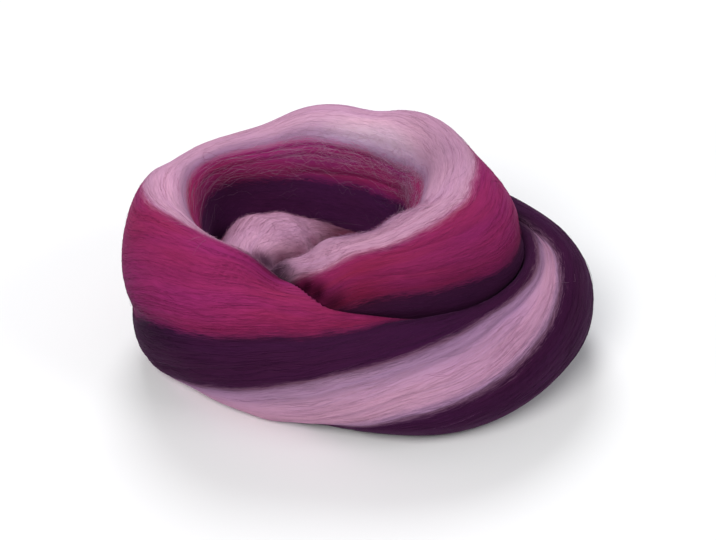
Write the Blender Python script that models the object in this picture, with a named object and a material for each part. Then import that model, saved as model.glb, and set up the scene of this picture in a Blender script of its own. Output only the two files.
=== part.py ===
"""A nest of wool roving: one long, soft ribbon of combed wool in three dyes, wound into a hollow nest.

The roving starts in a small curl at the bottom of the hollow, climbs into one tall turn that makes the rim,
crosses over its own start at the front, and runs once more round the outside, low on the table. Its turns
press into each other along shared faces, a hair apart, and it lies flat where it rests on the table. It is
made of six puffed bands with shallow channels between them, which roll over as the roving crosses itself.

Metres, +Z up. The front of the nest faces -Y. The origin is on the table, in the middle of the footprint.
"""

import math

import bmesh
import bpy
import numpy as np

NEST = "roving_nest"
MM = 0.001

# Sizes of the build, in millimetres unless they say otherwise.
AXIS = (-11.8, -8.4)  # where the axis of the winding stands
STEP_DEGREES = 6.0  # between one cross-section and the next
SQUARENESS = 2.25  # 2 is an ellipse, more is boxier
CONTACT_GAP = 0.4  # kept between turns that press together
SOFTNESS = 0.8  # how gently a turn rounds off where another presses on it
CHANNEL_WIDTH = 9.0  # degrees round the section, each side of a channel's middle
THINNEST = 0.6  # a channel leaves this share of the section's half size
TABLE = 0.0

# One row for each section of the roving, from its inner end to its outer end. "turn" says how far round the
# nest it lies, in degrees: 0 is the right, 90 the back, 180 the left and 270 the front, and every 360 starts a
# new turn. "reach" is from the nest's axis to the middle of the section, "rise" is that middle's height,
# "thick" and "tall" are half sizes across and up, and "lean" tips the top outwards, in degrees.
SECTION_COLUMNS = ("turn", "reach", "rise", "thick", "tall", "lean")
SECTIONS = (
    (4, 29, 9, 2.5, 4, 0),
    (9, 28, 11.5, 6, 8.5, 0),
    (18, 26.5, 14, 8, 12.5, 0),
    (30, 24, 14.5, 9, 14, 0),
    (60, 17, 17, 11, 18, 0),
    (90, 14, 19.5, 12, 20.5, 0),
    (140, 16.5, 21.5, 14.5, 23, 0),
    (180, 20.5, 21, 16, 22.5, 0),
    (210, 23, 21, 12, 22.5, 0),
    (240, 24, 24, 10, 25.5, 0),
    (258, 25, 26.5, 11.5, 28, 0),
    (275, 29.5, 28.5, 14, 29.5, -4),
    (300, 31.5, 29.5, 14.5, 31, -9),
    (330, 37, 30.5, 17, 31.5, -15),
    (360, 46, 30.5, 18, 31.5, -16),
    (390, 48, 30.5, 16.5, 32, -9),
    (415, 49.5, 30.5, 14.5, 32, -3),
    (450, 47, 29.5, 13, 31, 0),
    (480, 45, 28, 13, 29.5, 0),
    (510, 48, 28, 13, 29.5, 0),
    (540, 47, 28.5, 14, 30, 0),
    (570, 40.5, 28.5, 13.5, 30, 4),
    (590, 36, 28.5, 12.5, 29.5, 4),
    (610, 33, 27, 12.5, 28, 2),
    (630, 34.5, 24, 13.5, 25, 0),
    (650, 40.5, 21.5, 14.5, 22.5, 0),
    (675, 51, 19.5, 16, 20.5, 0),
    (700, 60.5, 18, 17.5, 19.5, 0),
    (725, 67, 18, 18, 19.5, 0),
    (750, 64, 17, 16.5, 18, 0),
    (780, 58, 15.5, 15, 17, 0),
    (810, 54, 14, 14, 15.5, 0),
    (850, 50, 11.5, 12, 13, 0),
    (880, 47, 9, 10, 10.5, 0),
    (905, 43.5, 7, 8.5, 8.5, 0),
    (928, 40, 5.5, 6.5, 6.5, 0),
    (936, 39, 4.5, 4.5, 5, 0),
    (940, 38.5, 4, 2, 2.5, 0),
)

# Where each of the six bands starts round the section, in degrees: 0 faces out, 90 up, 180 in and 270 down.
BAND_COLUMNS = ("turn", "pink", "inner_magenta", "inner_purple", "low_pink", "purple", "magenta")
BANDS = (
    (4, 50, 105, 140, 290, 335, 375),
    (30, 50, 112, 145, 290, 335, 375),
    (60, 50, 150, 185, 290, 335, 375),
    (90, 45, 185, 215, 295, 335, 370),
    (140, 45, 210, 235, 300, 335, 370),
    (180, 45, 195, 225, 300, 340, 375),
    (210, 50, 165, 200, 300, 345, 380),
    (240, 58, 140, 175, 300, 350, 388),
    (270, 63, 128, 160, 295, 350, 393),
    (300, 65, 122, 155, 292, 345, 390),
    (330, 64, 120, 155, 290, 340, 382),
    (360, 62, 117, 155, 290, 335, 379),
    (396, 49, 132, 162, 290, 332, 372),
    (415, 45, 137, 165, 290, 332, 369),
    (441, 45, 133, 159, 290, 331, 367),
    (461, 46, 127, 151, 288, 328, 364),
    (485, 50, 119, 142, 284, 320, 352),
    (526, 60, 115, 142, 280, 308, 330),
    (546, 84, 122, 150, 280, 308, 341),
    (558, 102, 132, 162, 285, 313, 353),
    (570, 110, 140, 168, 284, 321, 364),
    (585, 111, 145, 175, 284, 329, 371),
    (600, 111, 150, 180, 288, 336, 375),
    (612, 111, 152, 185, 296, 346, 383),
    (627, 112, 155, 190, 311, 361, 396),
    (640, 113, 158, 195, 327, 379, 408),
    (655, 120, 165, 205, 342, 399, 427),
    (666, 128, 172, 215, 356, 415, 440),
    (679, 140, 182, 230, 374, 431, 455),
    (689, 150, 190, 240, 387, 443, 467),
    (700, 160, 200, 252, 403, 453, 478),
    (715, 172, 215, 270, 425, 465, 490),
    (733, 185, 230, 290, 448, 485, 512),
    (750, 195, 240, 300, 460, 500, 530),
    (790, 198, 243, 303, 468, 508, 536),
    (940, 200, 245, 305, 470, 510, 540),
)
BAND_SIDES = (4, 3, 7, 4, 5, 5)  # faces across each band, in the same order
CHANNEL_DEPTHS = (0.8, 0.7, 0.8, 1.0, 1.0, 1.7)  # of the channel where each band starts


def column(table, columns, name):
    return np.array([row[columns.index(name)] for row in table], float)


def smooth(knots, values, places):
    """A table's column read anywhere along the roving: a cubic through its rows that doesn't overshoot."""
    steps = np.diff(knots)
    slopes = np.diff(values) / steps
    before, after = slopes[:-1], slopes[1:]
    weight_before = steps[:-1] + 2 * steps[1:]
    weight_after = 2 * steps[:-1] + steps[1:]
    same_way = before * after > 0
    pull_before = weight_before / np.where(same_way, before, 1.0)
    pull_after = weight_after / np.where(same_way, after, 1.0)
    bends = np.zeros(len(knots))
    bends[1:-1] = np.where(same_way, (weight_before + weight_after) / (pull_before + pull_after), 0.0)
    at = np.clip(np.searchsorted(knots, places) - 1, 0, len(steps) - 1)
    share = np.clip((places - knots[at]) / steps[at], 0.0, 1.0)
    rest = 1.0 - share
    return (
        values[at] * (1 + 2 * share) * rest**2
        + values[at + 1] * (3 - 2 * share) * share**2
        + steps[at] * (bends[at] * share * rest**2 - bends[at + 1] * share**2 * rest)
    )


SECTION_TURNS = column(SECTIONS, SECTION_COLUMNS, "turn")
BAND_TURNS = column(BANDS, BAND_COLUMNS, "turn")


class Sections:
    """The roving's sections at many places along it, each in an upright plane through the nest's axis."""

    def __init__(self, turns):
        self.reach, self.rise, self.thick, self.tall, lean = (
            smooth(SECTION_TURNS, column(SECTIONS, SECTION_COLUMNS, name), turns)
            for name in SECTION_COLUMNS[1:]
        )
        self.cos = np.cos(np.radians(lean))
        self.sin = np.sin(np.radians(lean))

    def fullness(self, out, up):
        """0 at the middle of the section and 1 on its skin."""
        across = (out * self.cos - up * self.sin) / self.thick
        along = (out * self.sin + up * self.cos) / self.tall
        return (np.abs(across) ** SQUARENESS + np.abs(along) ** SQUARENESS) ** (1 / SQUARENESS)

    def direction(self, angle):
        """The way from the middle to the skin at an angle round the section, stretched with the section."""
        across = np.cos(angle) * self.thick
        along = np.sin(angle) * self.tall
        size = np.hypot(across, along)
        return (across * self.cos + along * self.sin) / size, (along * self.cos - across * self.sin) / size


def softened(length, limit):
    """The smaller of two lengths, with the corner between them rounded off."""
    return length - SOFTNESS * np.log1p(np.exp(np.minimum((length - limit) / SOFTNESS, 40.0)))


def pressed(turns, section, out, up, length):
    """Shortens rays from a section's middle to the face it shares with the roving one or two turns on."""
    free = length
    for shift in (-720, -360, 360, 720):
        there = turns + shift
        other = Sections(np.clip(there, SECTION_TURNS[0], SECTION_TURNS[-1]))

        def past_middle(size):
            other_out = section.reach + out * size - other.reach
            other_up = section.rise + up * size - other.rise
            return section.fullness(out * size, up * size) > other.fullness(other_out, other_up)

        low, high = np.zeros_like(free), free + 6 * SOFTNESS
        meets = (there > SECTION_TURNS[0]) & (there < SECTION_TURNS[-1]) & past_middle(high)
        for _ in range(24):
            middle = (low + high) / 2
            past = past_middle(middle)
            high = np.where(past, middle, high)
            low = np.where(past, low, middle)
        length = np.where(meets, softened(length, high - CONTACT_GAP / 2), length)
    return np.maximum(length, 0.5)


def band_angles(turns, bands, shares):
    """The angle round the section, and the channel's depth there, for shares of the way across its bands."""
    names = BAND_COLUMNS[1:]
    starts = np.array([smooth(BAND_TURNS, column(BANDS, BAND_COLUMNS, name), turns) for name in names])
    starts = np.concatenate((starts, starts[:1] + 360))
    start, end = starts[bands].T, starts[bands + 1].T
    angles = start + (end - start) * shares
    depths = np.array(CHANNEL_DEPTHS + CHANNEL_DEPTHS[:1])
    channel = depths[bands] * np.exp(-(((angles - start) / CHANNEL_WIDTH) ** 2))
    channel += depths[bands + 1] * np.exp(-(((end - angles) / CHANNEL_WIDTH) ** 2))
    return np.radians(angles), channel


def roving_points(turns, bands, shares):
    """Points on the roving's skin: a row for each place along it, a column for each place across its bands."""
    angle, channel = band_angles(turns, bands, shares)
    turns_grid = np.repeat(turns[:, None], len(bands), axis=1)
    section = Sections(turns_grid)
    out, up = section.direction(angle)
    length = 1.0 / section.fullness(out, up)
    length = np.maximum(length - channel, THINNEST * length)
    length = pressed(turns_grid, section, out, up, length)
    radius = section.reach + out * length
    height = np.maximum(section.rise + up * length, TABLE)
    bearing = np.radians(turns_grid)
    east = AXIS[0] + radius * np.cos(bearing)
    north = AXIS[1] + radius * np.sin(bearing)
    return np.stack((east, north, height), axis=-1)


def loft(name, rings):
    """A closed mesh skinned over rings of points, with a cap at each end."""
    shape = bmesh.new()
    loops = [[shape.verts.new(point) for point in ring] for ring in rings]
    for loop, following in zip(loops, loops[1:]):
        for side in range(len(loop)):
            before = side - 1
            shape.faces.new((loop[before], loop[side], following[side], following[before]))
    shape.faces.new(loops[0])
    shape.faces.new(loops[-1])
    bmesh.ops.recalc_face_normals(shape, faces=shape.faces)
    mesh = bpy.data.meshes.new(name)
    shape.to_mesh(mesh)
    shape.free()
    mesh.shade_smooth()
    return mesh


def wool_material():
    material = bpy.data.materials.new("dyed_wool")
    material.use_nodes = True
    shader = material.node_tree.nodes["Principled BSDF"]
    shader.inputs["Base Color"].default_value = (0.27, 0.024, 0.10, 1.0)
    shader.inputs["Roughness"].default_value = 0.8
    shader.inputs["Metallic"].default_value = 0.0
    return material


def build_roving(collection):
    first, last = SECTION_TURNS[[0, -1]]
    turns = np.linspace(first, last, round((last - first) / STEP_DEGREES) + 1)
    bands = np.repeat(np.arange(len(BAND_SIDES)), BAND_SIDES)
    shares = np.concatenate([np.arange(sides) / sides for sides in BAND_SIDES])
    roving = bpy.data.objects.new(NEST, loft(NEST, roving_points(turns, bands, shares) * MM))
    roving.data.materials.append(wool_material())
    collection.objects.link(roving)
    return roving


def main():
    for leftover in list(bpy.data.objects):
        bpy.data.objects.remove(leftover)
    collection = bpy.data.collections.new("wool_roving")
    bpy.context.scene.collection.children.link(collection)
    build_roving(collection)


main()
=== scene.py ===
import math

import bpy
import numpy as np
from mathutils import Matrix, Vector


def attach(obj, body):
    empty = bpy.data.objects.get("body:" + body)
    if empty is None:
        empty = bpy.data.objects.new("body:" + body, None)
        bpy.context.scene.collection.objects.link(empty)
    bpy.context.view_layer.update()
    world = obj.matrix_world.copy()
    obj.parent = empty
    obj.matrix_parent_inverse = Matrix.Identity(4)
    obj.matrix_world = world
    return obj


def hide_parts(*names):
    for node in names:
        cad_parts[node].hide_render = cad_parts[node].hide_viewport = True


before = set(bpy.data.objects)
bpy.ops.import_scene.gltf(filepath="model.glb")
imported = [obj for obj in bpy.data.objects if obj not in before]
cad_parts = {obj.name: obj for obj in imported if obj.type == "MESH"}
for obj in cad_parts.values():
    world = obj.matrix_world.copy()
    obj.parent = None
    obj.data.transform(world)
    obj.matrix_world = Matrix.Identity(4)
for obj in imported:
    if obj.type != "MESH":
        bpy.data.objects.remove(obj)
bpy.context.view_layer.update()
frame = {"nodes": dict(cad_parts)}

bpy.ops.object.select_all(action="DESELECT")
print("frame loaded:", ", ".join(frame["nodes"]))

mm = 0.001

# The way the roving is wound: one row per section, from its inner end to its outer end, in millimetres.
# turn: degrees round the nest (0 right, 90 back, 180 left, 270 front), and 360 more for each new turn
# reach, rise: middle of the section, from the nest's axis and from the table
# thick, tall: half sizes across and up; lean: degrees that the top tips outwards
winding = {
    "axis": (-11.8, -8.4),
    "squareness": 2.25,  # 2 is an ellipse, more is boxier
    "contactGap": 0.4,
    # The shadow gap where the wool dives under the left band: turn, how far round, and how deep.
    "diveGap": (266, 22, 4.2),
    "softness": 0.8,  # how gently a turn rounds off where another presses on it
    "searchPast": 6,  # how many softnesses past its skin a turn looks for the face it shares
    "halvings": 18,  # how often that search is halved
    "thinnest": 0.5,  # millimetres from a section's middle to its skin, at the least
    "outerShare": 0.6,  # how far out in a section the fibres run that the wool's length is measured by
    "fineTurns": 4000,  # places along the wool that its length is added up over
    "sections": (
        (4, 29, 9, 2.5, 4, 0),
        (9, 28, 11.5, 6, 8.5, 0),
        (18, 26.5, 14, 8, 12.5, 0),
        (30, 24, 14.5, 9, 14, 0),
        (60, 17, 17, 11, 18, 0),
        (90, 14, 19.5, 12, 20.5, 0),
        (140, 16.5, 21.5, 14.5, 23, 0),
        (180, 20.5, 21, 16, 22.5, 0),
        (210, 23, 21, 12, 22.5, 0),
        (240, 24, 24, 10, 25.5, 0),
        (258, 25, 26.5, 11.5, 28, 0),
        (275, 29.5, 28.5, 14, 29.5, -4),
        (300, 31.5, 29.5, 14.5, 31, -9),
        (330, 37, 30.5, 17, 31.5, -15),
        (360, 46, 30.5, 18, 31.5, -16),
        (390, 48, 30.5, 16.5, 32, -9),
        (415, 49.5, 30.5, 14.5, 32, -3),
        (450, 47, 29.5, 13, 31, 0),
        (480, 45, 28, 13, 29.5, 0),
        (510, 48, 28, 13, 29.5, 0),
        (540, 47, 28.5, 14, 30, 0),
        (570, 40.5, 28.5, 13.5, 30, 4),
        (590, 36, 28.5, 12.5, 29.5, 4),
        (610, 33, 27, 12.5, 28, 2),
        (630, 34.5, 24, 13.5, 25, 0),
        (650, 40.5, 21.5, 14.5, 22.5, 0),
        (675, 51, 19.5, 16, 20.5, 0),
        (700, 60.5, 18, 17.5, 19.5, 0),
        (725, 67, 18, 18, 19.5, 0),
        (750, 64, 17, 16.5, 18, 0),
        (780, 58, 15.5, 15, 17, 0),
        (810, 54, 14, 14, 15.5, 0),
        (850, 50, 11.5, 12, 13, 0),
        (880, 47, 9, 10, 10.5, 0),
        (905, 43.5, 7, 8.5, 8.5, 0),
        (928, 40, 5.5, 6.5, 6.5, 0),
        (936, 39, 4.5, 4.5, 5, 0),
        (940, 38.5, 4, 2, 2.5, 0),
    ),
}

# The six dyed bands of the roving: pink, inner magenta, inner purple, low pink, purple and magenta.
# starts: a turn, then where each band begins round the section there, in degrees
# (0 out, 90 up, 180 in, 270 down)
dyedBands = {
    "dyes": ("pink", "magenta", "purple", "pink", "purple", "magenta"),
    "nominalWidths": (28, 16, 46, 24, 22, 26),  # millimetres across each band, laid flat
    "channelDepths": (0.6, 0.6, 0.6, 0.5, 0.5, 1.5),
    "channelWidth": 9.0,  # degrees, each side of a channel's middle
    "thinnest": 0.6,  # share of the wool's thickness that a channel leaves, at the least
    "starts": (
        (4, 50, 105, 140, 290, 335, 375),
        (30, 50, 112, 145, 290, 335, 375),
        (60, 50, 150, 185, 290, 335, 375),
        (90, 45, 185, 215, 295, 335, 370),
        (140, 45, 210, 235, 300, 335, 370),
        (180, 45, 195, 225, 300, 340, 375),
        (210, 50, 165, 200, 300, 345, 380),
        (240, 60, 140, 175, 300, 350, 388),
        (262, 70, 130, 163, 296, 350, 394),
        (285, 70, 119, 157, 293, 347, 396),
        (300, 65, 112, 152, 292, 345, 393),
        (316, 62, 112, 152, 291, 342, 386),
        (330, 62, 116, 155, 290, 340, 380),
        (345, 65, 124, 157, 290, 337, 374),
        (360, 66, 124, 157, 290, 335, 372),
        (378, 60, 121, 155, 290, 333, 367),
        (396, 50, 130, 155, 290, 332, 363),
        (415, 45, 140, 162, 290, 332, 361),
        (441, 45, 133.5, 159, 290, 331, 361),
        (461, 46, 123, 151, 288, 328, 360),
        (485, 50, 115, 141, 284, 320, 352),
        (508, 53, 112, 137, 282, 312, 338),
        (526, 57, 118, 141, 280, 308, 330),
        (536, 67, 123, 144, 280, 306, 336),
        (546, 79, 127, 150, 280, 299, 338),
        (558, 98, 133, 161, 282, 300, 354),
        (570, 107, 138, 167, 282, 308, 365.5),
        (585, 108, 145, 177, 280, 324, 371.5),
        (600, 125, 152, 182, 280, 334, 378),
        (608, 132, 156, 186, 281, 340, 383),
        (627, 133, 160, 192, 289, 360, 398.5),
        (640, 133, 162, 197, 311, 378, 414.5),
        (648, 134, 165, 202, 327, 389, 427),
        (655, 135, 168, 207, 340, 398, 441),
        (666, 139, 174, 216, 353, 413, 460),
        (679, 146, 183, 230, 371, 429, 476),
        (689, 152, 190, 240, 388.5, 441, 482),
        (700, 160, 200, 252, 405, 445, 488),
        (708, 166, 207, 261, 417, 446, 494),
        (715, 172, 215, 270, 428, 449, 498),
        (723, 178, 222, 279, 437, 451.5, 502),
        (731, 184, 229, 288, 446, 450, 508),
        (741, 190, 235, 294, 453, 455, 518),
        (755, 195, 240, 300, 458, 464, 528),
        (775, 197, 242, 302, 465, 502, 533),
        (790, 198, 243, 303, 468, 508, 536),
        (940, 200, 245, 305, 470, 510, 540),
    ),
}

sectionRows = np.array(winding["sections"], float)
bandRows = np.array(dyedBands["starts"], float)
firstTurn, lastTurn = sectionRows[0, 0], sectionRows[-1, 0]
bandCount = len(dyedBands["dyes"])
bandEdges = np.concatenate(((0.0,), np.cumsum(dyedBands["nominalWidths"])))
flatWidth = bandEdges[-1]  # the whole way round the section, laid flat, in millimetres


def smoothly(rows, place, turns):  # a cubic through one column of a table that doesn't overshoot
    knots, values = rows[:, 0], rows[:, place]
    steps = np.diff(knots)
    slopes = np.diff(values) / steps
    before, after = slopes[:-1], slopes[1:]
    weightBefore = steps[:-1] + 2 * steps[1:]
    weightAfter = 2 * steps[:-1] + steps[1:]
    sameWay = before * after > 0
    pullBefore = weightBefore / np.where(sameWay, before, 1.0)
    pullAfter = weightAfter / np.where(sameWay, after, 1.0)
    bends = np.zeros(len(knots))
    bends[1:-1] = np.where(sameWay, (weightBefore + weightAfter) / (pullBefore + pullAfter), 0.0)
    at = np.clip(np.searchsorted(knots, turns) - 1, 0, len(steps) - 1)
    share = np.clip((turns - knots[at]) / steps[at], 0.0, 1.0)
    rest = 1.0 - share
    return (
        values[at] * (1 + 2 * share) * rest**2
        + values[at + 1] * (3 - 2 * share) * share**2
        + steps[at] * (bends[at] * share * rest**2 - bends[at + 1] * share**2 * rest)
    )


def sectionsAt(turns):
    reach, rise, thick, tall, lean = (smoothly(sectionRows, place, turns) for place in range(1, 6))
    return {"reach": reach, "rise": rise, "thick": thick, "tall": tall,
            "cos": np.cos(np.radians(lean)), "sin": np.sin(np.radians(lean))}


def fullness(section, out, up):  # 0 at the middle of a section, 1 on its skin
    across = (out * section["cos"] - up * section["sin"]) / section["thick"]
    along = (out * section["sin"] + up * section["cos"]) / section["tall"]
    power = winding["squareness"]
    return (np.abs(across) ** power + np.abs(along) ** power) ** (1 / power)


def pressed(turns, section, out, up, length):  # turns flatten against each other along shared faces
    free, softness = length, winding["softness"]
    for shift in (-720, -360, 360, 720):
        there = turns + shift
        inRange = np.flatnonzero((there > firstTurn) & (there < lastTurn))
        if not len(inRange):
            continue
        here = {name: values[inRange] for name, values in section.items()}
        other = sectionsAt(there[inRange])
        outHere, upHere, freeHere = out[inRange], up[inRange], free[inRange]

        def pastMiddle(size):
            otherOut = here["reach"] + outHere * size - other["reach"]
            otherUp = here["rise"] + upHere * size - other["rise"]
            return fullness(here, outHere * size, upHere * size) > fullness(other, otherOut, otherUp)

        low, high = np.zeros_like(freeHere), freeHere + winding["searchPast"] * softness
        meets = pastMiddle(high)
        for _ in range(winding["halvings"]):
            middle = (low + high) / 2
            past = pastMiddle(middle)
            high = np.where(past, middle, high)
            low = np.where(past, low, middle)
        diveTurn, diveWidth, diveDepth = winding["diveGap"]
        dive = diveDepth * np.exp(-(((turns[inRange] - diveTurn) / diveWidth) ** 2)) * (shift == 360)
        limit = high - winding["contactGap"] / 2 - dive
        now = length[inRange]
        # The shorter of the two lengths, with the corner between them rounded off.
        rounded = now - softness * np.log1p(np.exp(np.minimum((now - limit) / softness, 40.0)))
        length = length.copy()
        length[inRange] = np.where(meets, rounded, now)
    return np.maximum(length, winding["thinnest"])


def bandAt(around):  # around: millimetres round the flat roving, from the start of the pink band
    return np.clip(np.searchsorted(bandEdges, around, side="right") - 1, 0, bandCount - 1)


def bandAngles(turns, around):  # where a place on the flat roving lies round the section, and its channel
    starts = np.array([smoothly(bandRows, place, turns) for place in range(1, bandCount + 1)])
    starts = np.concatenate((starts, starts[:1] + 360))
    band = bandAt(around)
    share = (around - bandEdges[band]) / (bandEdges[band + 1] - bandEdges[band])
    start = np.take_along_axis(starts, band[None], axis=0)[0]
    end = np.take_along_axis(starts, band[None] + 1, axis=0)[0]
    angles = start + (end - start) * share
    depths = np.array(dyedBands["channelDepths"] + dyedBands["channelDepths"][:1])
    width = dyedBands["channelWidth"]
    channel = depths[band] * np.exp(-(((angles - start) / width) ** 2))
    channel += depths[band + 1] * np.exp(-(((end - angles) / width) ** 2))
    return np.radians(angles), channel


# Length along the wool for each turn, measured where the outer fibres run.
fineTurns = np.linspace(firstTurn, lastTurn, winding["fineTurns"])
fineSections = sectionsAt(fineTurns)
outerReach = fineSections["reach"] + winding["outerShare"] * fineSections["thick"]
fineSteps = np.hypot(outerReach[1:] * np.diff(np.radians(fineTurns)), np.diff(fineSections["rise"]))
fineLengths = np.concatenate(((0.0,), np.cumsum(fineSteps)))
woolLength = fineLengths[-1]

# Soft ridges that the combed fibres lie in. Each row is one size of ridge.
ridges = {
    "seed": 11,
    "sizes": (  # width across the fibres, length along them, height, all in millimetres
        (1.4, 26, 0.065),
        (4.0, 50, 0.18),
        (13.5, 85, 0.6),
    ),
    "fullAt": 8,  # millimetres of thickness from which ridges and creases have their full height
    "least": 0.1,
}
ridgeChance = np.random.default_rng(ridges["seed"])
ridgeTables = [
    ridgeChance.uniform(-1, 1, (math.ceil(woolLength / length) + 3, round(flatWidth / width)))
    for width, length, height in ridges["sizes"]
]

# Broad dents where the wool is drawn in or pressed down, and swells where the depth is negative: turn,
# degrees round the section, reach along and round (in degrees too), and depth in millimetres.
dents = (
    (68, 100, 17, 60, 0.8),
    (95, 95, 38, 60, 2.8),
    (112, 80, 12, 50, 0.9),
    (140, 72, 12, 40, 0.8),
    (157, 68, 12, 40, -1.9),
    (226, 92, 10, 32, 4.5),
    (236, 80, 5, 10, 1.6),
    (243, 70, 7, 22, 2.5),
    (245, 76, 5, 10, 2.0),
    (253, 69, 5, 10, 2.4),
    (260, 59, 5, 10, 2.6),
    (264, 80, 17, 55, 4.6),
    (267, 51, 5, 9, 2.6),
    (273, 112, 14, 27, -3.6),
    (274, 43, 5, 8, 1.8),
    (312, 108, 14, 28, 1.6),
    (367, 28, 12, 24, -1.4),
    (389, 45, 9, 30, 1.2),
    (431, 74, 11, 40, 3.0),
    (470, 72, 8, 35, 0.7),
    (484, 70, 20, 50, 1.5),
    (508, 68, 12, 45, 1.7),
    (524, 60, 7, 30, -1.0),
    (536, 30, 10, 35, 0.7),
    (543, 340, 11, 24, 1.3),
    (550, 351, 12, 12, 1.0),
    (557, 312, 12, 14, -1.0),
    (572, 300, 14, 32, 2.2),
    (606, 100, 12, 45, 6.4),
    (607, 296, 9, 25, -1.2),
    (620, 95, 13, 42, 3.6),
    (645, 298, 28, 30, 2.7),
    (696, 322, 20, 36, 1.7),
    (736, 38, 20, 36, 1.3),
    (738, 50, 10, 25, -0.5),
    (915, 350, 25, 70, 3.5),
)

# Painted shade and painted light: places where the wool's colour is made darker where shadow falls in gaps,
# hollows and folds, redder where light bounces off the magenta wool, or paler where more light falls: turn,
# degrees round the section, reach along and round, and what red, green and blue are multiplied by.
paintedShading = (
    (57, 95, 44, 120, (0.16, 0.03, 0.06)),
    (104, 126, 14, 12, (0.62, 0.44, 0.50)),
    (165, 143, 32, 12, (0.50, 0.34, 0.40)),
    (168, 48, 20, 32, (0.72, 0.68, 0.72)),
    (196, 138, 14, 16, (0.45, 0.30, 0.36)),
    (205, 100, 6, 16, (0.62, 0.50, 0.56)),
    (213, 109, 12, 22, (0.13, 0.08, 0.12)),
    (221, 124, 8, 14, (0.26, 0.18, 0.24)),
    (228, 95, 9, 22, (0.10, 0.07, 0.10)),
    (241, 86, 9, 24, (0.09, 0.06, 0.09)),
    (248, 67, 7, 18, (0.09, 0.07, 0.09)),
    (256, 57, 6, 15, (0.11, 0.10, 0.12)),
    (264, 59, 5, 10, (0.11, 0.08, 0.11)),
    (270, 51, 4.5, 10, (0.15, 0.12, 0.15)),
    (277, 41, 6, 10, (0.34, 0.40, 0.36)),
    (288, 42, 14, 24, (0.80, 0.70, 0.60)),
    (302, 118, 32, 22, (0.55, 0.50, 0.60)),
    (320, 14, 50, 35, (0.74, 0.78, 0.72)),
    (388, 100, 20, 28, (0.70, 0.69, 0.71)),
    (420, 125, 34, 10, (1.2, 1.45, 1.35)),
    (436, 145, 42, 13, (0.74, 0.86, 0.90)),
    (438, 118, 32, 22, (1.22, 1.34, 1.28)),
    (445, 197, 110, 37, (2.0, 2.1, 2.1)),
    (497, 142, 14, 14, (0.75, 0.75, 0.75)),
    (505, 130, 18, 22, (0.76, 0.74, 0.76)),
    (532, 100, 12, 22, (1.18, 1.16, 1.12)),
    (545, 10, 22, 50, (0.80, 0.82, 0.80)),
    (556, 328, 20, 40, (0.68, 0.62, 0.68)),
    (562, 356, 26, 16, (0.72, 0.70, 0.74)),
    (600, 122, 11, 16, (0.45, 0.36, 0.42)),
    (720, 30, 50, 60, (0.86, 0.80, 0.86)),
    (722, 84, 14, 9, (0.72, 0.70, 0.74)),
    (740, 91, 8, 7, (0.20, 0.10, 0.22)),
    (750, 97, 8, 8, (0.20, 0.10, 0.22)),
    (760, 102, 8, 8, (0.20, 0.10, 0.22)),
)

# Creases where the wool has parted. Places round the flat wool, widths and depths are in millimetres.
creases = {
    "shade": 0.2,  # painted shade: how much darker the wool's colour is made for each millimetre of depth
    "deepening": 5,  # a crease deepens over one part in five of its length at each end
    "rows": (  # first turn and place, last turn and place, width, depth
        (592, 108.8, 728, 108.5, 1.1, 0.8),
        (600, 97, 700, 103, 0.8, 0.3),
        (590, 92, 660, 95, 0.8, 0.3),
        (650, 92, 745, 98, 0.9, 0.3),
        (285, 148, 345, 141, 1.0, 0.7),
        (300, 157, 350, 152, 0.9, 0.5),
        (410, 29, 500, 32, 0.8, 0.8),
        (430, 34, 520, 38, 0.8, 0.8),
        (395, 38, 470, 43, 0.9, 0.7),
        (400, 24, 470, 26, 0.9, 0.6),
        (530, 120, 610, 124, 0.8, 0.4),
        (545, 143, 600, 149, 0.8, 0.4),
        (560, 132, 640, 135, 0.8, 0.4),
    ),
}


def ridgeHeight(along, around):  # both in millimetres
    total = np.zeros_like(along)
    for (width, length, height), table in zip(ridges["sizes"], ridgeTables):
        rows, columns = table.shape
        row = np.clip(along / length, 0, rows - 2.001)  # every row in use has one after it
        column = (around / flatWidth * columns) % columns
        rowNow, columnNow = row.astype(int), column.astype(int) % columns
        rowShare, columnShare = row - rowNow, column - np.floor(column)
        rowShare = rowShare**2 * (3 - 2 * rowShare)
        columnShare = columnShare**2 * (3 - 2 * columnShare)
        columnNext = (columnNow + 1) % columns
        near, far = (
            table[line, columnNow] * (1 - columnShare) + table[line, columnNext] * columnShare
            for line in (rowNow, rowNow + 1)
        )
        total += height * (near * (1 - rowShare) + far * rowShare)
    return total


def creaseDepth(turns, around):
    total = np.zeros_like(turns)
    for startTurn, startAround, endTurn, endAround, width, depth in creases["rows"]:
        share = (turns - startTurn) / (endTurn - startTurn)
        middle = startAround + (endAround - startAround) * share
        fade = np.clip(np.minimum(share, 1 - share) * creases["deepening"], 0, 1)
        total += depth * fade * np.exp(-(((around - middle) / width) ** 2))
    return total


def nearness(turns, degrees, turn, angle, turnReach, angleReach):  # 1 at that place, fading away from it
    offAngle = (degrees - angle + 180) % 360 - 180
    return np.exp(-(((turns - turn) / turnReach) ** 2) - (offAngle / angleReach) ** 2)


def dentDepth(turns, angles):
    total = np.zeros_like(turns)
    degrees = np.degrees(angles)
    for *place, depth in dents:
        total += depth * nearness(turns, degrees, *place)
    return total


def paintedShadingAt(turns, angles, around):  # painted shade and painted light: colour to multiply the wool's own by, also darker in creases
    total = np.ones((len(turns), 4))
    # painted shade in the creases, darker where they are deeper
    total[:, :3] *= 1 - creases["shade"] * creaseDepth(turns, around)[:, None]
    degrees = np.degrees(angles)
    for *place, left in paintedShading:
        amount = nearness(turns, degrees, *place)[:, None]
        total[:, :3] *= 1 - amount * (1 - np.array(left))
    return total


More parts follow.
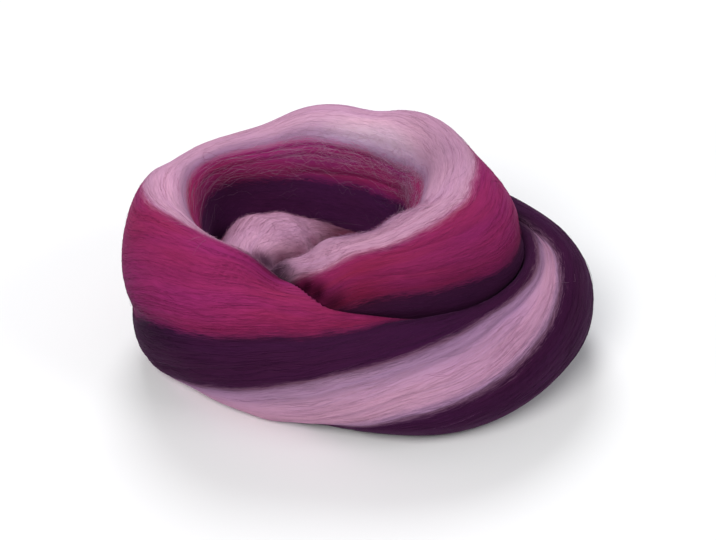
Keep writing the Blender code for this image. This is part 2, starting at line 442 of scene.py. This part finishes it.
def woolSurface(along, around, lift=0.0):  # points on the roving in metres, and the way out of it
    turns = np.interp(along, fineLengths, fineTurns)
    angles, channel = bandAngles(turns, around)
    section = sectionsAt(turns)
    across, upward = np.cos(angles) * section["thick"], np.sin(angles) * section["tall"]
    size = np.hypot(across, upward)
    out = (across * section["cos"] + upward * section["sin"]) / size
    up = (upward * section["cos"] - across * section["sin"]) / size
    length = 1 / fullness(section, out, up)
    length = np.maximum(length - channel, dyedBands["thinnest"] * length) - dentDepth(turns, angles)
    relief = ridgeHeight(along, around) - creaseDepth(turns, around)
    free = length + relief * np.clip(length / ridges["fullAt"], ridges["least"], 1)
    held = pressed(turns, section, out, up, free)
    reached = held + lift
    radius = section["reach"] + out * reached
    height = np.maximum(section["rise"] + up * reached, 0.0)
    bearing = np.radians(turns)
    axisX, axisY = winding["axis"]
    points = np.stack((axisX + radius * np.cos(bearing), axisY + radius * np.sin(bearing), height), axis=-1)
    outward = np.stack((out * np.cos(bearing), out * np.sin(bearing), up), axis=-1)
    return points * mm, outward, free - held


# The colours of the wool, as the light leaves them: base colours, without shine.
dyes = {
    "pink": (0.515, 0.275, 0.405, 1),
    "lilac": (0.395, 0.225, 0.365, 1),  # pink with a little purple combed in
    "magenta": (0.272, 0.021, 0.108, 1),
    "wine": (0.190, 0.0135, 0.070, 1),  # magenta with purple combed in
    "purple": (0.042, 0.0075, 0.037, 1),
    "strength": {"pink": 0.3, "magenta": 0.7, "purple": 0.75},  # which dye wins where two bands meet
    # Each band's start and end, from the edge inwards: how far across it, the dye, and how much of the dye.
    "fades": (
        (((0.05, "pink", 0.5), (0.15, "pink", 0.92)),
         ((0.05, "lilac", 0.5), (0.14, "lilac", 0.9), (0.34, "pink", 1))),
        (((0.13, "magenta", 1),), ((0.12, "wine", 1), (0.45, "magenta", 1))),
        (((0.13, "purple", 1),), ((0.13, "purple", 1),)),
        (((0.05, "lilac", 0.5), (0.14, "lilac", 0.92), (0.28, "pink", 1)),
         ((0.05, "lilac", 0.45), (0.13, "lilac", 0.75), (0.26, "lilac", 0.98), (0.46, "pink", 1))),
        (((0.13, "purple", 1),), ((0.13, "purple", 1),)),
        (((0.12, "wine", 1), (0.48, "magenta", 1)), ((0.13, "magenta", 1),)),
    ),
    "sheenTint": (0.80, 0.36, 0.82, 1),
    "sheen": 0.08,
    "sheenRoughness": 0.35,
    "specular": 0.02,
}

# Streaks of fibres in the wool's colour: length, width and where the pattern starts, in millimetres.
streaks = {
    "mapUnit": 100,  # millimetres of wool for each unit of its maps
    "crimp": (3.4, 2.4, 5.5),
    "fine": (4.6, 0.3, 0.0),
    "strand": (9, 0.9, 3.1),
    "lock": (32, 3.6, 7.7),
    "swell": (60, 16.0, 12.3),
    "crimpShift": 0.012,  # how far a streak waves, in units of the map
    "strayed": {"fine": 0.045, "strand": 0.02, "lock": 0.012},  # how far each carries a dye past its band
    "brightness": {"fine": 0.50, "strand": 0.15, "lock": 0.16},
    "hue": {"swell": 0.06, "lock": 0.025},
    "bumpStrength": 0.35,
    "bumpHeight": 0.2 * mm,
    "roughness": (0.58, 0.8),
}


def addNode(tree, kind, inputs=None, **settings):  # inputs: a value, or the socket that feeds it
    node = tree.nodes.new(kind)
    for name, value in settings.items():
        setattr(node, name, value)
    for name, value in (inputs or {}).items():
        if isinstance(value, bpy.types.NodeSocket):
            tree.links.new(value, node.inputs[name])
        else:
            node.inputs[name].default_value = value
    return node


def addMath(tree, operation, first, second):
    return addNode(tree, "ShaderNodeMath", {0: first, 1: second}, operation=operation).outputs[0]


def fibreNoise(tree, coordinates, length, width, offset):  # streaks that run with the fibres
    stretched = addNode(tree, "ShaderNodeMapping", {
        "Vector": coordinates, "Location": (offset, offset * 1.7, 0),
        "Scale": (streaks["mapUnit"] / length, streaks["mapUnit"] / width, 1)})
    noise = addNode(tree, "ShaderNodeTexNoise", {
        "Vector": stretched.outputs["Vector"], "Scale": 1.0, "Detail": 2.0, "Roughness": 0.55},
        noise_dimensions="2D")
    return noise.outputs["Fac"]


def noiseOver(tree, noise, lowest, highest):  # a noise's usual values, stretched over a range
    stretched = addNode(tree, "ShaderNodeMapRange", {
        "Value": noise, "From Min": 0.3, "From Max": 0.7, "To Min": lowest, "To Max": highest})
    return stretched.outputs["Result"]


def woolShader(tree, colour, bump):
    shader = tree.nodes["Principled BSDF"]
    shader.inputs["Sheen Weight"].default_value = dyes["sheen"]
    shader.inputs["Sheen Roughness"].default_value = dyes["sheenRoughness"]
    shader.inputs["Sheen Tint"].default_value = dyes["sheenTint"]
    shader.inputs["Specular IOR Level"].default_value = dyes["specular"]
    tree.links.new(colour, shader.inputs["Base Color"])
    if bump is not None:
        tree.links.new(bump, shader.inputs["Normal"])
    return shader


def mixedDye(first, second, share):  # share of the first dye
    return [share * one + (1 - share) * two for one, two in zip(dyes[first], dyes[second])]


def dyeStops():  # places and colours of the whole way round the section
    bands = dyedBands["dyes"]
    stops = []
    for number, here in enumerate(bands):
        before, after = bands[number - 1], bands[(number + 1) % bandCount]
        strength = dyes["strength"]
        shareHere = strength[here] / (strength[here] + strength[before])
        stops.append((number / bandCount, mixedDye(here, before, shareHere)))
        fadeIn, fadeOut = dyes["fades"][number]
        for place, dye, share in fadeIn:
            stops.append(((number + place) / bandCount, mixedDye(dye, before, share)))
        for place, dye, share in reversed(fadeOut):
            stops.append(((number + 1 - place) / bandCount, mixedDye(dye, after, share)))
    stops.append((1.0, stops[0][1]))
    return stops


def combedWool():  # the colour of the whole roving, from its two maps, times its painted shade and painted light
    material = bpy.data.materials.new("combed_dyed_wool")
    material.use_nodes = True
    tree = material.node_tree
    fibre = addNode(tree, "ShaderNodeUVMap", uv_map="fibre").outputs["UV"]
    dye = addNode(tree, "ShaderNodeUVMap", uv_map="dye").outputs["UV"]
    dyePlace = addNode(tree, "ShaderNodeSeparateXYZ", {"Vector": dye}).outputs["Y"]

    def centred(noise, amount):
        return addMath(tree, "MULTIPLY", addMath(tree, "SUBTRACT", noise, 0.5), amount)

    # The fibres are crimped: every streak waves a little from side to side.
    crimp = centred(fibreNoise(tree, fibre, *streaks["crimp"]), streaks["crimpShift"])
    shift = addNode(tree, "ShaderNodeCombineXYZ", {"Y": crimp}).outputs["Vector"]
    crimped = addNode(tree, "ShaderNodeVectorMath", {0: fibre, 1: shift}, operation="ADD").outputs["Vector"]
    paths = {"fine": crimped, "strand": crimped, "lock": fibre, "swell": fibre}
    streak = {name: fibreNoise(tree, path, *streaks[name]) for name, path in paths.items()}

    def streaked(start, amounts):
        for name, amount in amounts.items():
            start = addMath(tree, "ADD", start, centred(streak[name], amount))
        return start

    # Single fibres and small locks cross into the next band.
    place = addMath(tree, "FRACT", streaked(dyePlace, streaks["strayed"]), 0.0)
    ramp = addNode(tree, "ShaderNodeValToRGB", {"Fac": place})
    elements = ramp.color_ramp.elements
    stops = dyeStops()
    elements[0].position, elements[0].color = stops[0]
    elements[1].position, elements[1].color = stops[-1]
    for position, colour in stops[1:-1]:
        elements.new(position).color = colour
    toned = addNode(tree, "ShaderNodeHueSaturation", {
        "Color": ramp.outputs["Color"], "Hue": streaked(0.5, streaks["hue"]), "Saturation": 1.0,
        "Value": streaked(1.0, streaks["brightness"])})
    # Painted shade and painted light, kept on the roving's points, darken or brighten the dyed colour.
    painted_shading = addNode(tree, "ShaderNodeAttribute", attribute_name="painted_shading").outputs["Color"]
    shaded = addNode(tree, "ShaderNodeVectorMath", {0: toned.outputs["Color"], 1: painted_shading},
                     operation="MULTIPLY")
    relief = addMath(tree, "ADD", streak["fine"], streak["strand"])
    bump = addNode(tree, "ShaderNodeBump", {
        "Height": relief, "Strength": streaks["bumpStrength"], "Distance": streaks["bumpHeight"]})
    shader = woolShader(tree, shaded.outputs["Vector"], bump.outputs["Normal"])
    rough = noiseOver(tree, streak["strand"], *streaks["roughness"])
    tree.links.new(rough, shader.inputs["Roughness"])
    return material


# The wound roving itself, one soft tube of six dyed bands.
rovingBody = {
    "name": "wound_roving",
    "stepsAlong": 300,
    "closer": ((268, 26, 1.8), (612, 24, 1.2), (655, 20, 0.6)),  # more steps by a turn: how wide, how many
    "stepsAcross": (58, 34, 78, 44, 48, 62),  # across each band
    "edgeFade": 12.0,  # millimetres from a band's edge at which its middle colour is near
    "fullWidth": 5.0,  # a band narrower than this, in millimetres, is half hidden by its neighbours' fibres
    "pastEdge": 0.16,  # how far its colour is shifted into them
    "nearEnds": (4.0, 2),  # more steps by both ends: how many, and over how many millimetres
}


def dyePlaces(number, fromStart, fromEnd):  # where a point of a band lies on the ramp of dyes
    nearStart = 1 - np.exp(-fromStart / rovingBody["edgeFade"])
    nearEnd = 1 - np.exp(-fromEnd / rovingBody["edgeFade"])
    share = nearStart / np.maximum(nearStart + nearEnd, 1e-9)
    full = np.clip((fromStart + fromEnd) / rovingBody["fullWidth"], 0, 1)  # a pinched band loses its colour
    past = rovingBody["pastEdge"] * (1 - full)
    share = np.where(share < 0.5, share * full - past, 1 - (1 - share) * full + past)
    return (number + share) / bandCount


def finishMesh(piece):
    bpy.ops.object.select_all(action="DESELECT")
    bpy.context.view_layer.objects.active = piece
    piece.select_set(True)
    bpy.ops.object.shade_smooth()


def makeRoving():
    stepsAcross = rovingBody["stepsAcross"]
    rounds = sum(stepsAcross)
    bpy.ops.mesh.primitive_grid_add(x_subdivisions=rovingBody["stepsAlong"], y_subdivisions=rounds, size=2)
    piece = bpy.context.active_object
    piece.name = rovingBody["name"]
    mesh = piece.data
    mesh.name = rovingBody["name"]
    flat = np.empty(len(mesh.vertices) * 3)
    mesh.vertices.foreach_get("co", flat)
    shareAlong, shareAround = (flat.reshape(-1, 3)[:, :2].T + 1) / 2
    column = np.rint(shareAlong * rovingBody["stepsAlong"]).astype(int)
    row = np.rint(shareAround * rounds).astype(int)
    rowEdges = np.concatenate(((0,), np.cumsum(stepsAcross)))
    around = np.interp(row, rowEdges, bandEdges)
    density = np.ones(len(fineTurns))
    for middle, width, more in rovingBody["closer"]:
        density += more * np.exp(-(((fineTurns - middle) / width) ** 2))
    more, reach = rovingBody["nearEnds"]
    density += more * (np.exp(-fineLengths / reach) + np.exp((fineLengths - woolLength) / reach))
    counted = np.concatenate(((0.0,), np.cumsum((density[1:] + density[:-1]) / 2 * np.diff(fineLengths))))
    evenly = np.linspace(0, counted[-1], rovingBody["stepsAlong"] + 1)
    along = np.interp(evenly, counted, fineLengths)[column]
    points, _, _ = woolSurface(along, around)
    mesh.vertices.foreach_set("co", points.ravel())

    # How far across its band each point lies, kept true to size where the band is squeezed.
    grid = np.empty((rovingBody["stepsAlong"] + 1, rounds + 1, 3))
    grid[column, row] = points / mm
    widths = np.linalg.norm(np.diff(grid, axis=1), axis=2)
    across = np.concatenate((np.zeros((len(grid), 1)), np.cumsum(widths, axis=1)), axis=1)
    dyePlace = np.empty(across.shape)
    for number in range(bandCount):
        low, high = rowEdges[number], rowEdges[number + 1]
        fromStart = across[:, low:high + 1] - across[:, low:low + 1]
        fromEnd = across[:, high:high + 1] - across[:, low:high + 1]
        dyePlace[:, low:high] = dyePlaces(number, fromStart, fromEnd)[:, :-1]
    dyePlace[:, rounds] = 1.0
    unit = streaks["mapUnit"]
    maps = {"fibre": np.stack((along / unit, around / unit), axis=1),
            "dye": np.stack((along / unit, dyePlace[column, row]), axis=1)}
    turns = np.interp(along, fineLengths, fineTurns)
    # Painted shade and painted light for each point, multiplied into the wool's colour.
    painted_shading = mesh.attributes.new("painted_shading", "FLOAT_COLOR", "POINT")
    painted_shading.data.foreach_set("color", paintedShadingAt(turns, bandAngles(turns, around)[0], around).ravel())
    corners = np.empty(len(mesh.loops), np.int64)
    mesh.loops.foreach_get("vertex_index", corners)
    for layer in list(mesh.uv_layers):
        mesh.uv_layers.remove(layer)
    for name, values in maps.items():
        mesh.uv_layers.new(name=name).data.foreach_set("uv", values[corners].ravel())

    bpy.ops.object.mode_set(mode="EDIT")
    bpy.ops.mesh.select_all(action="SELECT")
    bpy.ops.mesh.remove_doubles(threshold=1e-6)  # closes the seam under the pink band's edge
    bpy.ops.mesh.select_all(action="DESELECT")
    bpy.ops.mesh.select_mode(type="EDGE")
    bpy.ops.mesh.select_non_manifold()
    bpy.ops.mesh.fill_holes(sides=0)  # closes both ends
    bpy.ops.mesh.select_all(action="SELECT")
    bpy.ops.mesh.normals_make_consistent(inside=False)
    bpy.ops.mesh.select_all(action="DESELECT")
    bpy.ops.object.mode_set(mode="OBJECT")
    piece.location = (0, 0, 0)
    mesh.materials.append(combedWool())
    finishMesh(piece)
    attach(piece, "root")
    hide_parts("roving_nest")
    return piece


roving = makeRoving()
print("roving wound:", len(roving.data.vertices), "points,", round(woolLength), "mm of wool")

# Single fibres lying on the wool, in one piece for each stretch of it. Sizes are in millimetres.
fibres = {
    "seed": 29,
    "joints": 9,
    "length": (9, 26),
    "radius": (0.024, 0.05),
    "lift": (0.0, 0.07),  # how far a fibre's middle stands off the wool
    "looseShare": 0.02,
    "looseLift": (0.2, 0.6),
    "sunk": 0.08,  # how deep its ends are tucked in
    "wander": 0.5,  # sideways drift
    "farShare": 0.08,
    "farWander": 1.6,
    "sway": (0.5, 2.5),  # part of the drift that swings to and fro, and its half waves along a fibre
    "bluntness": 0.7,  # how soon a fibre rises from its tucked ends, less is sooner
    "crimp": (0.05, 0.2),  # how far it waves from side to side
    "crimpLength": (4.5, 8.0),
    "strayShare": 0.12,
    "strayed": (0.02, 0.006),  # how far on the ramp of dyes strayed fibres and the rest come from
    "tone": 0.10,  # how much their brightness differs
    "toneRange": (0.7, 1.4),
    "tint": 0.04,
    "roughness": 0.6,
    "mottleScale": 400.0,
    "mottle": (0.92, 1.08),  # darkest and lightest along a fibre
    "stretches": (  # name, first and last turn, fibres
        ("curl_fibres", 60, 262, 1100),
        ("ring_fibres", 262, 430, 1800),
        ("back_fibres", 430, 590, 1900),
        ("front_fibres", 590, 690, 1900),
        ("outer_fibres", 690, 925, 1800),
    ),
}

# Every hair starts as a straight three-sided rod one unit long, and is thinner at its tips.
hairShape = {"rodRadius": 0.25, "tip": 0.3, "bluntness": 0.6}

# Fibres start only where they show: not between pressed turns, and not underneath.
inSight = {
    "tries": 4,  # places tried for each fibre
    "step": 0.3,  # millimetres round the wool over which its stretch is measured
    "evenly": 2.2,  # stretch from which every tried place is kept
    "leastStretch": 0.3,
    "pressedBy": 0.5,  # millimetres that the wool may be pressed in by
    "facing": -0.3,  # how far down it may face where it is low
    "below": 9,  # millimetres from the table that count as low
    "endRoom": 1.0,  # millimetres kept clear at both ends of the wool
}


def straightHairs(name, count, joints):  # three-sided hairs, side by side, each one unit long
    bpy.ops.mesh.primitive_cylinder_add(vertices=3, radius=hairShape["rodRadius"], depth=1,
                                        end_fill_type="NGON", rotation=(0, math.pi / 2, 0))
    piece = bpy.context.active_object
    piece.name = name
    piece.data.name = name
    bpy.ops.object.transform_apply(location=False, rotation=True, scale=False)
    mesh = piece.data
    places = np.array([vertex.co[:] for vertex in mesh.vertices])
    bpy.ops.object.mode_set(mode="EDIT")
    bpy.ops.mesh.select_mode(type="EDGE")
    bpy.ops.mesh.select_all(action="DESELECT")
    bpy.ops.object.mode_set(mode="OBJECT")
    for edge in mesh.edges:
        first, second = places[list(edge.vertices)]
        edge.select = abs(first[0] - second[0]) > 0.5
    bpy.ops.object.mode_set(mode="EDIT")
    bpy.ops.mesh.subdivide(number_cuts=joints - 1)
    bpy.ops.object.mode_set(mode="OBJECT")
    copies = piece.modifiers.new("side_by_side", "ARRAY")
    copies.count = count
    copies.use_relative_offset = False
    copies.use_constant_offset = True
    copies.constant_offset_displace = (0, 1, 0)
    bpy.ops.object.modifier_apply(modifier=copies.name)
    return piece


def layHairs(piece, joints, centres, outward, radius, colours):  # bends straight hairs onto their paths
    mesh = piece.data
    flat = np.empty(len(mesh.vertices) * 3)
    mesh.vertices.foreach_get("co", flat)
    straight = flat.reshape(-1, 3)
    number = np.rint(straight[:, 1]).astype(int)
    joint = np.rint((straight[:, 0] + 0.5) * joints).astype(int)
    sideways = (straight[:, 1] - number) / hairShape["rodRadius"]
    upward = straight[:, 2] / hairShape["rodRadius"]
    ahead = np.gradient(centres, axis=1)
    ahead /= np.linalg.norm(ahead, axis=2, keepdims=True)
    side = np.cross(outward, ahead)
    side /= np.linalg.norm(side, axis=2, keepdims=True)
    over = np.cross(ahead, side)
    swelling = np.sin(np.linspace(0.0, math.pi, joints + 1)) ** hairShape["bluntness"]
    taper = hairShape["tip"] + (1 - hairShape["tip"]) * swelling
    size = (radius[number] * taper[joint] * mm)[:, None]
    offset = side[number, joint] * sideways[:, None] + over[number, joint] * upward[:, None]
    points = centres[number, joint] + size * offset
    points[:, 2] = np.maximum(points[:, 2], 0.0)
    mesh.vertices.foreach_set("co", points.ravel())
    # The fibres' dye, with the wool's painted shade and painted light multiplied in for all but the pale
    # hairs.
    painted = mesh.attributes.new("fibre_dye_and_painted_shading", "FLOAT_COLOR", "POINT")
    painted.data.foreach_set("color", colours[number].ravel())
    mesh.update()
    mesh.materials.append(fibreMaterial)
    finishMesh(piece)
    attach(piece, "root")


def makeFibreMaterial():
    material = bpy.data.materials.new("dyed_fibre")
    material.use_nodes = True
    tree = material.node_tree
    painted = addNode(tree, "ShaderNodeAttribute", attribute_name="fibre_dye_and_painted_shading").outputs["Color"]
    mottle = addNode(tree, "ShaderNodeTexNoise", {
        "Vector": addNode(tree, "ShaderNodeTexCoord").outputs["Object"],
        "Scale": fibres["mottleScale"], "Detail": 1.0})
    value = noiseOver(tree, mottle.outputs["Fac"], *fibres["mottle"])
    toned = addNode(tree, "ShaderNodeHueSaturation", {"Color": painted, "Value": value})
    shader = woolShader(tree, toned.outputs["Color"], None)
    shader.inputs["Roughness"].default_value = fibres["roughness"]
    return material


def pickPlaces(chance, count, turns, sides=(0, flatWidth)):  # along and round the wool, and its stretch
    wanted = count * inSight["tries"]
    low, high = np.interp(turns, fineTurns, fineLengths)
    along = chance.uniform(low, high, wanted)
    around = chance.uniform(*sides, wanted)
    here, outward, hidden = woolSurface(along, around)
    beside, _, _ = woolSurface(along, (around + inSight["step"]) % flatWidth)
    stretch = np.linalg.norm(beside - here, axis=1) / (inSight["step"] * mm)
    underneath = (outward[:, 2] < inSight["facing"]) & (here[:, 2] < inSight["below"] * mm)
    wellIn = chance.uniform(0, inSight["evenly"], wanted) < stretch
    keep = np.flatnonzero((hidden < inSight["pressedBy"]) & ~underneath & wellIn)[:count]
    return along[keep], around[keep], stretch[keep]


def withinEnds(along):
    return np.clip(along, inSight["endRoom"], woolLength - inSight["endRoom"])


def pathsOn(along, across, off):  # each hair's path over the wool, and which way is out of it there
    points, outward, _ = woolSurface(along.ravel(), (across % flatWidth).ravel(), off.ravel())
    return points.reshape(*along.shape, 3), outward.reshape(*along.shape, 3)


def fibreColours(chance, along, around, stretch):  # the dye there, some of it strayed from further off, times the painted shade and painted light of the wool
    band = bandAt(around)
    place = dyePlaces(band, (around - bandEdges[band]) * stretch, (bandEdges[band + 1] - around) * stretch)
    strayed = chance.uniform(0, 1, len(around)) < fibres["strayShare"]
    place = place + chance.normal(0, 1, len(around)) * np.where(strayed, *fibres["strayed"])
    stops = dyeStops()
    spots = np.array([stop[0] for stop in stops])
    shades = np.array([stop[1] for stop in stops])
    colours = np.stack([np.interp(place % 1.0, spots, shades[:, part]) for part in range(4)], axis=1)
    tone = 1 + fibres["tone"] * chance.normal(0, 1, (len(around), 1))
    tint = 1 + fibres["tint"] * chance.normal(0, 1, (len(around), 3))
    colours[:, :3] *= np.clip(tone, *fibres["toneRange"]) * tint
    turns = np.interp(along, fineLengths, fineTurns)
    return colours * paintedShadingAt(turns, bandAngles(turns, around)[0], around)


def makeFibres(number, name, turns, count):
    joints = fibres["joints"]
    chance = np.random.default_rng(fibres["seed"] + number)
    middle, around, stretch = pickPlaces(chance, count, turns)
    count = len(middle)
    length = chance.uniform(*fibres["length"], count)
    share = np.linspace(0, 1, joints + 1)[None]
    along = withinEnds(middle[:, None] + length[:, None] * (share - 0.5))
    far = chance.uniform(0, 1, count) < fibres["farShare"]
    drift = np.where(far, fibres["farWander"], fibres["wander"])
    swing = chance.normal(0, 1, (2, count, 1))
    crimp = chance.uniform(*fibres["crimp"], (count, 1))
    wave = chance.uniform(*fibres["crimpLength"], (count, 1))
    phase = chance.uniform(0, 2 * math.pi, (count, 1))
    sway, halfWaves = fibres["sway"]
    swaying = sway * swing[1] * np.sin(halfWaves * math.pi * share)
    sideways = drift[:, None] * (swing[0] * (share - 0.5) + swaying)
    sideways = sideways + crimp * np.sin(2 * math.pi * along / wave + phase)
    across = around[:, None] + sideways / np.maximum(stretch, inSight["leastStretch"])[:, None]
    lift = chance.uniform(*fibres["lift"], count)
    loose = chance.uniform(0, 1, count) < fibres["looseShare"]
    lift = np.where(loose, chance.uniform(*fibres["looseLift"], count), lift)
    rise = np.sin(math.pi * share) ** fibres["bluntness"]
    off = rise * (lift + fibres["sunk"])[:, None] - fibres["sunk"]
    points, outward = pathsOn(along, across, off)
    radius = chance.uniform(*fibres["radius"], count)
    piece = straightHairs(name, count, joints)
    layHairs(piece, joints, points, outward, radius, fibreColours(chance, middle, around, stretch))
    print(name, count, "fibres")


fibreMaterial = makeFibreMaterial()
for number, (name, firstOf, lastOf, count) in enumerate(fibres["stretches"]):
    makeFibres(number, name, (firstOf, lastOf), count)

# Fine stray hairs: short ends that stand off the wool, and pale curling ones inside the ring.
strayHairs = {
    "seed": 71,
    "joints": 6,
    "sideways": (1.2, 1.3),  # how far it bends, and how late along it
    "rising": 1.6,  # how late along it stands off, 1 is evenly
    "sunk": 0.05,
    "standing": (  # first and last turn, first and last place round, how many, length, stand-off, radius
        (60, 930, 0, 162, 2600, (2.0, 6.0), (0.12, 0.6), (0.012, 0.024)),
        (66, 178, 0, 16, 800, (2.0, 5.0), (0.3, 1.1), (0.016, 0.032)),
        (236, 283, 0, 20, 300, (1.5, 4.0), (0.3, 1.2), (0.016, 0.032)),
        (283, 352, 10, 30, 1100, (2.0, 5.0), (0.3, 1.2), (0.016, 0.032)),
        (560, 630, 0, 9, 350, (2.0, 5.0), (0.2, 0.9), (0.016, 0.030)),
    ),
    "paleJoints": 14,
    "paleRadius": (0.013, 0.026),
    "paleColour": (0.51, 0.285, 0.43, 1),
    "paleTone": 0.15,
    "paleDrift": (1.6, 0.7),  # how much of its curl is one bend, and how much is waves
    "paleWaves": (1.5, 4.5),  # fewest and most half waves
    "paleBluntness": 0.6,
    "paleSunk": 0.03,
    "pale": (  # first and last turn, first and last place round, number, length, curl, stand-off, tone
        (395, 535, 27, 45, 260, (7, 24), 0.8, 0.3, 0.8),
        (340, 405, 26, 50, 300, (4, 14), 1.6, 0.6, 0.9),
        (385, 470, 24, 38, 280, (6, 18), 1.5, 0.45, 1.0),
        (395, 540, 45, 66, 70, (6, 18), 0.8, 0.3, 0.4),
    ),
}


def makeShortHairs():
    joints = strayHairs["joints"]
    chance = np.random.default_rng(strayHairs["seed"])
    share = np.linspace(0, 1, joints + 1)[None]
    bend, lateness = strayHairs["sideways"]
    parts = []
    for firstOf, lastOf, aroundFrom, aroundTo, count, lengths, rise, radius in strayHairs["standing"]:
        start, around, stretch = pickPlaces(chance, count, (firstOf, lastOf), (aroundFrom, aroundTo))
        count = len(start)
        length = chance.uniform(*lengths, (count, 1)) * chance.choice((-1, 1), (count, 1))
        along = withinEnds(start[:, None] + length * share)
        sideways = bend * chance.normal(0, 1, (count, 1)) * share**lateness
        across = around[:, None] + sideways / np.maximum(stretch, inSight["leastStretch"])[:, None]
        off = chance.uniform(*rise, (count, 1)) * share ** strayHairs["rising"] - strayHairs["sunk"]
        sizes = chance.uniform(*radius, count)
        parts.append((*pathsOn(along, across, off), sizes, fibreColours(chance, start, around, stretch)))
    centres, outwards, sizes, colours = (np.concatenate(part) for part in zip(*parts))
    piece = straightHairs("short_hairs", len(centres), joints)
    layHairs(piece, joints, centres, outwards, sizes, colours)
    print("short hairs:", len(centres))


def makePaleHairs():
    joints = strayHairs["paleJoints"]
    chance = np.random.default_rng(strayHairs["seed"] + 1)
    share = np.linspace(0, 1, joints + 1)[None]
    oneBend, waves = strayHairs["paleDrift"]
    parts = []
    for firstOf, lastOf, aroundFrom, aroundTo, count, lengths, curl, standOff, tone in strayHairs["pale"]:
        low, high = np.interp((firstOf, lastOf), fineTurns, fineLengths)
        middle = chance.uniform(low, high, (count, 1))
        around = chance.uniform(aroundFrom, aroundTo, (count, 1))
        along = middle + chance.uniform(*lengths, (count, 1)) * (share - 0.5)
        swing = chance.normal(0, 1, (4, count, 1))
        wave = np.sin(chance.uniform(*strayHairs["paleWaves"], (count, 1)) * math.pi * share + swing[2])
        across = around + curl * (oneBend * swing[0] * (share - 0.5) + waves * swing[1] * wave)
        rise = np.sin(math.pi * share) ** strayHairs["paleBluntness"]
        off = standOff * np.abs(swing[3]) * rise - strayHairs["paleSunk"]
        parts.append((*pathsOn(along, across, off), np.full((count, 1), tone)))
    centres, outwards, tones = (np.concatenate(part) for part in zip(*parts))
    count = len(centres)
    colours = np.tile(strayHairs["paleColour"], (count, 1))
    colours[:, :3] *= tones * (1 + strayHairs["paleTone"] * chance.normal(0, 1, (count, 1)))
    piece = straightHairs("pale_hairs", count, joints)
    layHairs(piece, joints, centres, outwards, chance.uniform(*strayHairs["paleRadius"], count), colours)
    print("pale hairs:", count)


makeShortHairs()
makePaleHairs()

# The room: a pale floor, soft light, and the camera.
studio = {
    "elevation": 35.0,
    "lens": 95.0,
    "sensor": 36.0,
    "nearest": 0.01,
    "pixelsPerMillimetre": 3.147,
    "imageSize": (716, 540),
    "originPixel": (359.1, 334.8),  # where the middle of the footprint lies in the picture
    "floor": (0.93, 0.93, 0.935, 1),
    "world": (0.95, 0.97, 1.0, 1),
    "worldStrength": 0.32,
    "floorSize": 8,
    "floorRoughness": 0.9,
    "floorSpecular": 0.1,
    "lampAim": (0, 0, 0.03),
    "lamps": (  # name, place, width, power, colour
        ("key", (-0.35, -0.75, 0.85), 0.6, 8.0, (1.0, 0.99, 0.97)),
        ("right", (0.8, -0.35, 0.7), 0.5, 2.4, (0.98, 0.985, 1.0)),
        ("back", (-0.1, 0.75, 0.9), 0.6, 7.0, (0.97, 0.98, 1.0)),
    ),
}


def makeFloor():
    bpy.ops.mesh.primitive_plane_add(size=studio["floorSize"])
    floor = bpy.context.active_object
    floor.name = "studio_floor"
    material = bpy.data.materials.new("pale_floor")
    material.use_nodes = True
    shader = material.node_tree.nodes["Principled BSDF"]
    shader.inputs["Base Color"].default_value = studio["floor"]
    shader.inputs["Roughness"].default_value = studio["floorRoughness"]
    shader.inputs["Specular IOR Level"].default_value = studio["floorSpecular"]
    floor.data.materials.append(material)


def makeLamp(name, place, size, power, colour):
    bpy.ops.object.light_add(type="AREA", location=place)
    lamp = bpy.context.active_object
    lamp.name = name
    lamp.data.shape = "DISK"
    lamp.data.size = size
    lamp.data.energy = power
    lamp.data.color = colour
    lamp.rotation_euler = (Vector(studio["lampAim"]) - Vector(place)).to_track_quat("-Z", "Y").to_euler()


def makeCamera():
    tilt = math.radians(studio["elevation"])
    forward = Vector((0, math.cos(tilt), -math.sin(tilt)))
    up = Vector((0, math.sin(tilt), math.cos(tilt)))
    scale = studio["pixelsPerMillimetre"] * 1000
    width, height = studio["imageSize"]
    distance = studio["lens"] * (width / scale) / studio["sensor"]
    pixelX, pixelY = studio["originPixel"]
    aim = Vector(((width / 2 - pixelX) / scale, 0, 0)) + up * ((pixelY - height / 2) / scale)
    bpy.ops.object.camera_add(location=aim - forward * distance)
    camera = bpy.context.active_object
    camera.rotation_euler = forward.to_track_quat("-Z", "Y").to_euler()
    camera.data.lens = studio["lens"]
    camera.data.sensor_width = studio["sensor"]
    camera.data.clip_start = studio["nearest"]
    bpy.context.scene.camera = camera


def makeWorld():
    world = bpy.data.worlds.new("studio_light")
    world.use_nodes = True
    background = world.node_tree.nodes["Background"]
    background.inputs["Color"].default_value = studio["world"]
    background.inputs["Strength"].default_value = studio["worldStrength"]
    bpy.context.scene.world = world
    bpy.context.scene.view_settings.view_transform = "Standard"


makeFloor()
for lamp in studio["lamps"]:
    makeLamp(*lamp)
makeWorld()
makeCamera()
print("studio set")
